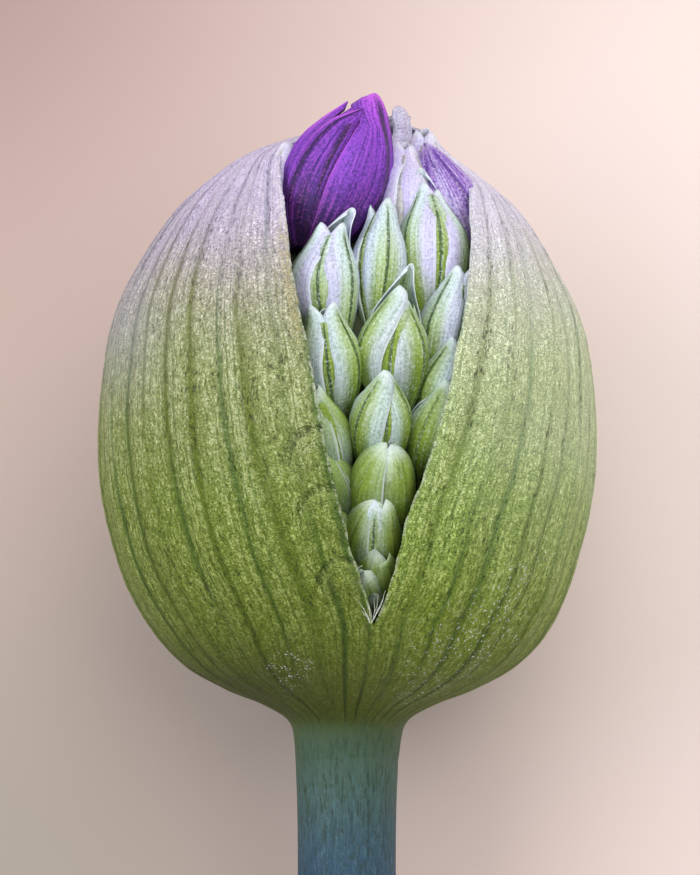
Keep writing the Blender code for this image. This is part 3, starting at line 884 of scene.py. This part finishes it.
# florets seen in the split, with tip and base as seen from the front, across and up; seam is where the
# two front tepals meet, in degrees, gap how far each draws back from it, tips where each tepal ends
splitFlorets = {
    "upperLeft": floret(
        (-1.0, 44.3), (-0.8, 31.6), 6.6, bow=-1.2, seam=-9, gap=(13, 11),
        tips=((-0.9, -0.3), (0.3, -0.4), (1.4, 1.0)), lilac=0.75, apex=0.78, green=-1.0,
    ),
    "upperMiddle": floret(
        (3.4, 46.0), (2.4, 33.4), 5.3, seam=-46, gap=(5, 5), proud=-0.5,
        tips=((-0.9, -0.5), (0.2, 0.2), (0.5, -0.3)), lilac=0.25, apex=0.9, green=-0.6,
    ),
    "upperRight": floret(
        (7.1, 47.9), (7.4, 33.8), 6.7, bow=0.5, seam=12, gap=(8, 9), green=-0.5,
        tips=((0.0, -0.3), (0.6, -1.0), (-0.4, 1.2)), lilac=0.9, apex=0.84, proud=0.6,
    ),
    "left": floret(
        (-2.2, 36.8), (-0.8, 25.6), 6.1, seam=-4, gap=(10, 4),
        tips=((-0.7, 0.0), (0.6, 0.0), (0.1, -0.7)), lilac=0.15, apex=0.82, green=0.1,
    ),
    "middle": floret(
        (5.0, 38.1), (4.5, 25.8), 6.7, bow=-0.75, seam=-3, gap=(14, 7), green=0.3,
        tips=((0.1, 0.3), (-0.2, -0.8), (0.6, 2.2)), lilac=0.35, apex=0.76, proud=0.3,
    ),
    "right": floret(
        (10.2, 40.1), (7.9, 28.0), 5.9, seam=20, gap=(3, 3), proud=0.5,
        tips=((-0.1, 0.0), (0.6, 0.1), (0.1, -0.4)), lilac=0.5, green=-0.5,
    ),
    "betweenRight": floret((10.0, 33.7), (7.6, 24.0), 5.6, seam=10, gap=(5, 5), proud=-0.5, lilac=0.1),
    "lowRight": floret((9.4, 30.0), (6.7, 19.6), 6.2, seam=30, gap=(2, 2), proud=-0.3, green=0.5),
    "lowMiddle": floret(
        (3.5, 30.9), (2.3, 20.8), 5.7, seam=14, gap=(6, 6), proud=0.3,
        tips=((0.2, 0.0), (-0.2, -0.2), (0.1, -0.3)), green=0.3, apex=0.76,
    ),
    "lowLeft": floret((-3.3, 29.6), (-1.4, 18.6), 6.0, seam=34, gap=(3, 3), green=0.9, proud=-0.2),
    "lowerLeft": floret((-3.0, 25.0), (-0.7, 15.0), 5.8, seam=52, gap=(2, 2), green=1.2, proud=-0.2),
    "thirdLeft": floret((-2.0, 20.0), (-0.3, 10.8), 5.0, seam=60, gap=(2, 2), green=1.3, proud=-0.2),
    "lower": floret(
        (3.6, 24.3), (2.5, 15.2), 6.2, proud=0.3, green=1.15, girth="closedGirth", droop=0.01,
        tepals=[
            petal(-150, -42, [(0, 6), (0.6, 4), (0.85, 2), (1, 10)], stand=1.04),
            petal([(0, -12), (0.7, -8), (1, 0)], 50, 150, stand=1.0, end=0.97, tip=(0.35, -0.2)),
            petal(-30, 40, 120, stand=0.96, tip=(0.2, 0.0), whiten=0.4),
            backPetal,
        ],
    ),
    "third": floret(
        (2.5, 19.5), (1.8, 11.2), 5.3, proud=0.4, green=0.95, girth="closedGirth", droop=0.006,
        tepals=[
            petal(-150, -44, [(0, 4), (0.6, -4), (0.85, -8), (1, 0)], stand=1.03),
            petal([(0, -8), (0.7, 6), (0.85, 10), (1, 0)], 54, 150, stand=1.03),
            petal(-60, 4, 60, stand=1.0, whiten=1),
            petal(0, 60, 150, stand=0.98, tip=(0.9, 0.0)),
            backPetal,
        ],
    ),
    "second": floret(
        (2.6, 15.0), (2.5, 8.0), 4.7, proud=0.5, green=1.2, girth="closedGirth", droop=0.016, hook=0.0,
        tepals=[
            petal(-150, -50, [(0, 0), (0.7, -10), (1, -10)], stand=1.02),
            petal(-30, 50, 150, end=0.94, stand=1.03, tip=(0.15, -0.1)),
            petal(-70, 0, 60, stand=0.97, whiten=0.2),
            backPetal,
        ],
    ),
    "lowest": floret(
        (1.5, 13.1), (2.1, 6.8), 4.2, proud=0.9, green=0.8, girth="closedGirth", droop=0.01, hook=0.0,
        tepals=[
            petal(-150, -70, -20, tip=(0.1, -0.2)),
            petal(-60, 14, 110, stand=1.04),
            petal(90, 180, 230, end=0.95),
        ],
    ),
    "bottom": floret(
        (2.3, 11.0), (2.3, 5.4), 2.8, proud=0.5, green=1.2, girth="closedGirth", droop=0.01, hook=0.0,
        tepals=[
            petal(-150, -50, 8),
            petal(-14, 50, 150, stand=1.05),
            backPetal,
        ],
    ),
}
# pale florets behind the violet ones
crownFlorets = [
    floret((5.2, -4.6, 51.3), (4.6, -8.6, 38.5), 6.4, seam=-8, lilac=1.0, gap=(2, 2), green=-0.5),
    floret((7.0, -1.0, 52.6), (7.4, -2.2, 40.0), 6.4, seam=-20, lilac=1.0, green=-0.8),
    floret((-5.0, -5.0, 51.2), (-7.4, -8.4, 40.0), 6.0, seam=30, lilac=1.0, green=-0.8),
    floret((3.6, 2.6, 50.6), (2.5, 2.0, 39.0), 5.6, seam=40, lilac=0.8),
    floret((-1.5, 1.5, 50.4), (-1.5, 0.5, 39.0), 5.6, seam=10, lilac=0.8),
]
violetFlorets = {
    "front": floret(
        (2.6, -4.6, 55.7), (-3.8, -10.3, 41.2), 8.9, girth="pointedGirth", pleat=0.026, hook=0.0,
        bow=-0.25,
        tepals=[
            # back left, with a tip of its own
            petal(
                [(0, -165), (0.6, -150), (0.75, -118), (0.9, -92)], [(0, -100), (0.7, -90), (0.9, -82)],
                [(0, -46), (0.5, -38), (0.66, -34), (0.72, -44), (0.8, -62), (0.9, -74)], end=0.9,
                tip=(-0.05, -0.1), whiten=0.5,
            ),
            # front left, folded back along its left margin, its tip under the hood
            petal(
                [(0.1, -64), (0.2, -60), (0.44, -50), (0.6, -46), (0.72, -41), (0.8, -22), (0.84, -6)],
                [(0.1, -56), (0.22, -52), (0.37, -44), (0.5, -37), (0.7, -27), (0.84, -5)],
                [(0, 12), (0.6, 8), (0.78, 6), (0.84, -2)], end=0.84, stand=1.03, curl=-2.5,
            ),
            petal(
                [(0.2, -60), (0.44, -51), (0.6, -47), (0.72, -42), (0.8, -26), (0.84, -8)],
                [(0.2, -57), (0.44, -48), (0.6, -43), (0.72, -37), (0.8, -19), (0.84, -5)],
                [(0.2, -55), (0.44, -45), (0.6, -39), (0.72, -31), (0.8, -12), (0.84, -2)], end=0.84,
                stand=1.06, curl=0, whiten=1.3,
            ),
            # front right, hooded over the tip
            petal(
                [(0, -2), (0.35, -4), (0.6, 0), (0.76, 2), (0.82, -16), (0.88, -40), (0.94, -60), (1, -60)],
                [(0, 76), (0.4, 69), (0.56, 60), (0.68, 55), (0.9, 26), (1, 0)],
                [(0, 160), (0.8, 150), (1, 90)], stand=1.1, curl=-1.0,
            ),
            # a narrow dark strip down the seam under the front right tepal's margin: painted shade
            petal(
                [(0, -12), (0.84, -5)], [(0, -7), (0.84, -2)], [(0, 0), (0.84, 2)], stand=1.045,
                end=0.82, curl=0,
            ),
            petal(130, 172, [(0, 220), (0.7, 212), (0.9, 190)], end=0.93),
            petal(
                [(0, -70), (0.7, -56), (0.8, -50), (0.92, -44), (0.98, -30)], -10, 40, stand=0.96,
                end=0.98,
            ),
            petal(-150, -95, -50, stand=0.9, end=0.7, inner=1),
            petal(40, 100, 160, stand=0.92, end=0.85, inner=1),
            petal(140, 180, 215, stand=0.9, end=0.8, inner=1),
        ],
    ),
    "side": floret(
        (6.9, -4.0, 51.3), (11.2, -6.3, 38.6), 7.0, girth="pointedGirth", pleat=0.02, hook=0.0,
        tepals=[
            petal(
                [(0, -70), (0.8, -62), (1, -30)], [(0, -30), (1, -10)], [(0, 10), (0.8, 6), (1, 0)],
                stand=1.05, curl=-1.0,
            ),
            petal([(0, -4), (0.8, 0), (1, -10)], [(0, 40), (1, 20)], 100, stand=1.03),
            petal(90, 150, 210, end=0.96),
            petal(190, 240, [(0, 300), (0.8, 305), (1, 330)], end=0.97),
            petal(-60, -5, 60, stand=0.93, end=0.95, inner=1),
            petal(60, 120, 180, stand=0.9, end=0.85, inner=1),
            petal(180, 240, 300, stand=0.9, end=0.85, inner=1),
        ],
    ),
}
# florets that the sheath hides follow the golden angle up the head
hiddenFlorets = {
    "count": 60,
    "lowest": 7.0,
    "highest": 46.5,
    "width": 6.4,
    "length": 10.5,
    "root": 6.0,
    "goldenAngle": 137.508,
    "splitMargin": 13.0,
}
tipInset = 1.75
baseInset = 7.0


def makePaleFlorets(material):
    bunch = FloretBunch()
    for seed, spot in enumerate(splitFlorets.values()):
        tip = inSplit(*spot["tip"], tipInset - spot.get("proud", 0))
        base = inSplit(*spot["base"], baseInset)
        bunch.addFloret(tip, base, Vector((0, -1, 0)), seed, spot)
    bunch.makePiece("paleFlorets", material, "flower_buds")


def makeCrownFlorets(material):
    bunch = FloretBunch()
    for seed, spot in enumerate(crownFlorets):
        bunch.addFloret(Vector(spot["tip"]), Vector(spot["base"]), Vector((0, -1, 0)), 40 + seed, spot)
    bunch.makePiece("crownFlorets", material, "flower_buds")


def makeHiddenFlorets(material):
    bunch = FloretBunch(9, 5)
    count, low, high = hiddenFlorets["count"], hiddenFlorets["lowest"], hiddenFlorets["highest"]
    for step in range(count):
        height = low + (high - low) * (step + 0.5) / count
        angle = (hiddenFlorets["goldenAngle"] * step + 180) % 360 - 180
        left, right = splitAt(max(height, sheath["splitEdges"][0][0]))
        margin = hiddenFlorets["splitMargin"]
        if left - margin < angle < right + margin:
            continue
        tip = onBud(angle, height, tipInset)
        root = max(height - 0.9 * hiddenFlorets["length"], hiddenFlorets["root"])
        base = onBud(angle, root, baseInset)
        outward = Vector((tip.x, tip.y, 0))
        spot = {"width": hiddenFlorets["width"], "lilac": 0.3, "green": 0.3}
        bunch.addFloret(tip, base, outward, 100 + step, spot)
    bunch.makePiece("hiddenFlorets", material, "flower_buds")


# the florets' short stalks, seen only between them and coloured near black: painted shade for the depth
# there
stalks = {
    "top": 46.0,
    "bottom": 5.2,
    "inset": 6.0,
    "slimmer": 0.6,
    "unevenness": 0.03,
    "rows": 40,
    "columns": 60,
}


def makeStalkMass():
    g = Graph("stalksPaintedShade")
    place = g.add("TexCoord", out="Object")
    shade = g.blend(g.noise(place, 300.0), colour(0.012, 0.02, 0.004), colour(0.05, 0.075, 0.015))
    material = g.shade({"Base Color": shade, "Roughness": 0.7})
    heights = np.linspace(stalks["top"], stalks["bottom"], stalks["rows"])
    side = [(radiusAt(height, stalks["inset"]) - stalks["slimmer"], height) for height in heights]
    profile = [(0.05, 46.6), *side, (4.0, 3.8), (0.05, 3.7)]
    points = []
    for radius, height in profile:
        for turn in ringTurns(stalks["columns"]):
            grown = radius * (1 + stalks["unevenness"] * aroundNoise(turn, 6, height * 0.2))
            points.append((grown * math.sin(turn), -grown * math.cos(turn), height))
    piece = meshPiece("stalkMass", points, ringFaces(len(profile), stalks["columns"], down=True), material)
    give(piece, "flower_buds")


def floretMaterial(name, looks):
    g = Graph(name)
    own, whole = g.carried("tepal"), g.carried("floret")
    across, along = g.axis(own, "X"), g.axis(own, "Y")
    lilac, greenness, inner = (g.axis(whole, axis) for axis in "XYZ")
    place = g.add("TexCoord", out="Object")
    lengthwise = g.stretch(own, (16.0, 1.8, 7.0))
    fibres = g.noise(lengthwise, 1.0, 5.0, 0.7)
    speck = g.noise(place, 4200.0, 2.0, 0.6)
    soft = g.noise(place, 420.0, 3.0, 0.5)
    side = abs(across)
    # green below, paler towards the tip, and darkening to near black at the base as painted shade
    ripenessAndBaseShade = along - 0.3 * greenness - 0.12 * inner + 0.16 * (soft - 0.5)
    body = g.ramp(looks["body"], ripenessAndBaseShade)
    margin = g.smooth(side + 0.3 * (fibres - 0.5) + 0.12 * (speck - 0.5), 0.25, 0.8)
    margin = margin * g.smooth(along, 0.05, 0.5) * (1 - 0.75 * greenness) * (1 - 0.75 * inner)
    tint = g.blend(lilac, looks["margin"], looks["lilac"])
    body = g.blend(margin * 0.92, body, tint)
    leafy = g.smooth(greenness, -0.7, 0.3)
    flank = g.smooth(side + 0.1 * (fibres - 0.5), 0.2 + 0.14 * leafy, 0.08) * g.smooth(along, 1.0, 0.88)
    body = g.blend(flank * (0.45 + 0.25 * leafy), body, looks["flank"])
    line = side + 0.06 * (speck - 0.5)
    keelLine = g.smooth(line / looks["keel width"], 0.085, 0.02) * g.smooth(along, 0.97, 0.85)
    broken = g.smooth(g.noise(lengthwise, 7.0, 1.0), 0.34, 0.5)
    faint = 1 - looks["faint keel"] * g.smooth(greenness, 0.15, 0.8)
    body = g.blend(keelLine * (0.55 + 0.4 * broken) * faint, body, looks["keel"])
    # painted shade in the darker streaks between the fibres
    streaky = speck + looks["streaky"] * (fibres - 0.5)
    body = g.blend(g.smooth(streaky, 0.52, 0.3) * looks["shade depth"], body, looks["shade"])
    # painted highlight: the lighter streaks, the rim and the tip are blended towards the glint colour
    light = g.smooth(streaky, 0.52, 0.75)
    body = g.blend(light * looks["shine"] * (1 - 0.6 * g.smooth(greenness, 0.2, 1.0)), body, looks["glint"])
    rim = g.smooth(side, looks["rim start"], 1.0)
    body = g.blend(rim * looks["rim"] + g.smooth(along, 0.9, 1.0) * 0.4, body, looks["glint"])
    relief = 0.8 * fibres + 0.5 * speck + 0.4 * soft - 0.8 * keelLine
    bump = g.add("Bump", sockets={"Height": relief, "Distance": 0.00014, "Strength": 0.8})
    return g.tissue(body, 0.56 - 0.1 * margin, bump, 0.15, (0.6, 0.8, 0.6), 0.3)


paleLook = {
    "body": [
        (0.0, (0.03, 0.055, 0.006)), (0.22, (0.12, 0.19, 0.008)), (0.45, (0.25, 0.36, 0.045)),
        (0.7, (0.42, 0.56, 0.3)), (1.0, (0.6, 0.75, 0.78)),
    ],
    "margin": colour(0.55, 0.7, 0.75),
    "lilac": colour(0.58, 0.54, 0.84),
    "flank": colour(0.25, 0.37, 0.03),
    "keel": colour(0.015, 0.055, 0.018),
    "faint keel": 0.75,
    "rim start": 0.88,
    "shade": colour(0.08, 0.15, 0.05),
    "glint": colour(0.8, 0.9, 0.95),
    "shine": 0.42,
    "streaky": 1.05,
    "shade depth": 0.42,
    "keel width": 1.0,
    "rim": 0.6,
}
lilacLook = {
    **paleLook,
    "body": [
        (0.0, (0.14, 0.16, 0.1)), (0.3, (0.36, 0.38, 0.34)), (0.6, (0.54, 0.53, 0.62)),
        (1.0, (0.66, 0.62, 0.84)),
    ],
    "margin": colour(0.66, 0.63, 0.82),
    "flank": colour(0.5, 0.52, 0.36),
    "keel": colour(0.3, 0.3, 0.32),
    "shade": colour(0.3, 0.24, 0.44),
}
violetLook = {
    "body": [
        (0.0, (0.008, 0.004, 0.014)), (0.22, (0.02, 0.008, 0.05)), (0.42, (0.11, 0.026, 0.3)),
        (0.7, (0.22, 0.042, 0.54)), (1.0, (0.6, 0.12, 0.85)),
    ],
    "margin": colour(0.2, 0.045, 0.5),
    "lilac": colour(0.5, 0.3, 0.8),
    "flank": colour(0.17, 0.035, 0.36),
    "keel": colour(0.006, 0.002, 0.016),
    "faint keel": 0.0,
    "rim start": 0.955,
    "shade": colour(0.03, 0.006, 0.11),
    "glint": colour(0.6, 0.12, 0.78),
    "shine": 0.26,
    "streaky": 1.8,
    "shade depth": 0.72,
    "keel width": 1.5,
    "rim": 0.45,
}
fadedLook = {
    **violetLook,
    "body": [
        (0.0, (0.36, 0.32, 0.46)), (0.3, (0.4, 0.31, 0.56)), (0.6, (0.3, 0.18, 0.52)),
        (1.0, (0.26, 0.13, 0.5)),
    ],
    "margin": colour(0.52, 0.44, 0.78),
    "flank": colour(0.17, 0.06, 0.4),
    "keel": colour(0.07, 0.02, 0.2),
    "shade": colour(0.12, 0.05, 0.3),
    "glint": colour(0.8, 0.74, 0.95),
    "shine": 0.4,
    "shade depth": 0.8,
}

paleTepals = floretMaterial("paleTepals", paleLook)
makePaleFlorets(paleTepals)
makeCrownFlorets(floretMaterial("lilacTepals", lilacLook))
makeHiddenFlorets(paleTepals)
makeStalkMass()
print("pale florets made")

violetFinishes = {
    "front": floretMaterial("violetTepals", violetLook),
    "side": floretMaterial("fadedVioletTepals", fadedLook),
}
for key, spot in violetFlorets.items():
    bunch = FloretBunch(60, 31)
    bunch.addFloret(Vector(spot["tip"]), Vector(spot["base"]), Vector((0, -1, 0.1)), 70 + len(key), spot)
    bunch.makePiece(key + "VioletFloret", violetFinishes[key], "violet_floret_" + key)
print("violet florets made")

# the stage: a pale floor with soft painted light and shade, a lighter patch to the right and darker mauve
# and olive patches to the left, and soft lights
studio = {
    "floorColour": (0.57, 0.445, 0.4),
    "floorSize": 3.0,
    # painted light and shade: centre of each patch, radius where it begins, colour
    "floorLightAndShade": [
        ((0.082, 0.034, 0.0), 0.125, (0.84, 0.745, 0.725)),
        ((-0.052, 0.093, 0.0), 0.083, (0.3, 0.203, 0.19)),
        ((-0.052, -0.027, 0.0), 0.083, (0.31, 0.29, 0.24)),
    ],
    # name, place, power, size, colour
    "lights": [
        ("keyLight", (0.29, 0.36, 0.66), 7.6, 1.1, (1.0, 0.97, 0.93)),
        ("fillLight", (-0.55, 0.1, 0.5), 3.4, 0.6, (0.93, 0.95, 1.0)),
    ],
    "lightsAim": (0.0, 0.02, 0.02),
    "worldColour": (0.88, 0.88, 0.9),
    "worldStrength": 0.57,
}


def makeFloor():
    g = Graph("paleFloor")
    place = g.add("TexCoord", out="Object")
    tone = colour(*studio["floorColour"])
    for centre, edge, tint in studio["floorLightAndShade"]:
        apart = g.add("VectorMath", {"operation": "DISTANCE"}, {0: place, 1: centre}, out="Value")
        tone = g.blend(g.smooth(apart, edge, 0.0), tone, colour(*tint))
    material = g.shade({"Base Color": tone, "Roughness": 1.0, "Specular IOR Level": 0.0})
    half = studio["floorSize"] / 2
    mesh = bpy.data.meshes.new("floor")
    corners = [(-half, -half, 0), (half, -half, 0), (half, half, 0), (-half, half, 0)]
    mesh.from_pydata(corners, [], [(0, 1, 2, 3)])
    mesh.materials.append(material)
    floor = bpy.data.objects.new("floor", mesh)
    bpy.context.scene.collection.objects.link(floor)


def softLight(name, place, power, size, tint):
    lamp = bpy.data.lights.new(name, "AREA")
    lamp.energy = power
    lamp.size = size
    lamp.color = tint
    light = bpy.data.objects.new(name, lamp)
    bpy.context.scene.collection.objects.link(light)
    light.location = place
    toBud = Vector(studio["lightsAim"]) - Vector(place)
    light.rotation_euler = toBud.to_track_quat("-Z", "Y").to_euler()


def makeStudio():
    makeFloor()
    for light in studio["lights"]:
        softLight(*light)
    world = bpy.data.worlds.new("studio")
    world.use_nodes = True
    background = world.node_tree.nodes["Background"]
    background.inputs["Color"].default_value = colour(*studio["worldColour"])
    background.inputs["Strength"].default_value = studio["worldStrength"]
    bpy.context.scene.world = world
    bpy.context.scene.view_settings.view_transform = "Standard"


makeStudio()
print("studio set")

bpy.context.view_layer.update()
